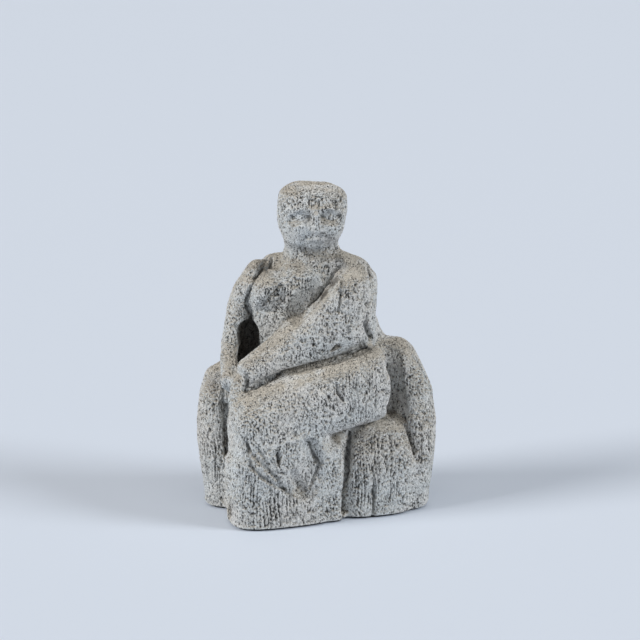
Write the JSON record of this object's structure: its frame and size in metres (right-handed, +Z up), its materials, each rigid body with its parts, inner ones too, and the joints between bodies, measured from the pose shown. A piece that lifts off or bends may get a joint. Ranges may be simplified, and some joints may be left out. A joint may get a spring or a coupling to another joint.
{
  "type": "stone figure sculpture",
  "caption": "Abstract seated draped woman carved in pale porous stone, resting on a thin dark felt sheet under its flat base.",
  "frame": {"origin": "middle of the underside, on the surface that the sculpture stands on", "axes": "+Z up; -Y to the front of the figure, which faces the viewer; +X to the viewer's right"},
  "size_m": [0.2208, 0.1594, 0.3001],
  "materials": {
    "stone": "dry, open-pored, rasped pale grey stone, warmer on the upper faces and cooler on the upright ones",
    "felt": "matt black felt"
  },
  "bodies": {
    "root": {"carved_figure": "stone", "felt_base": "felt"}
  },
  "joints": []
}
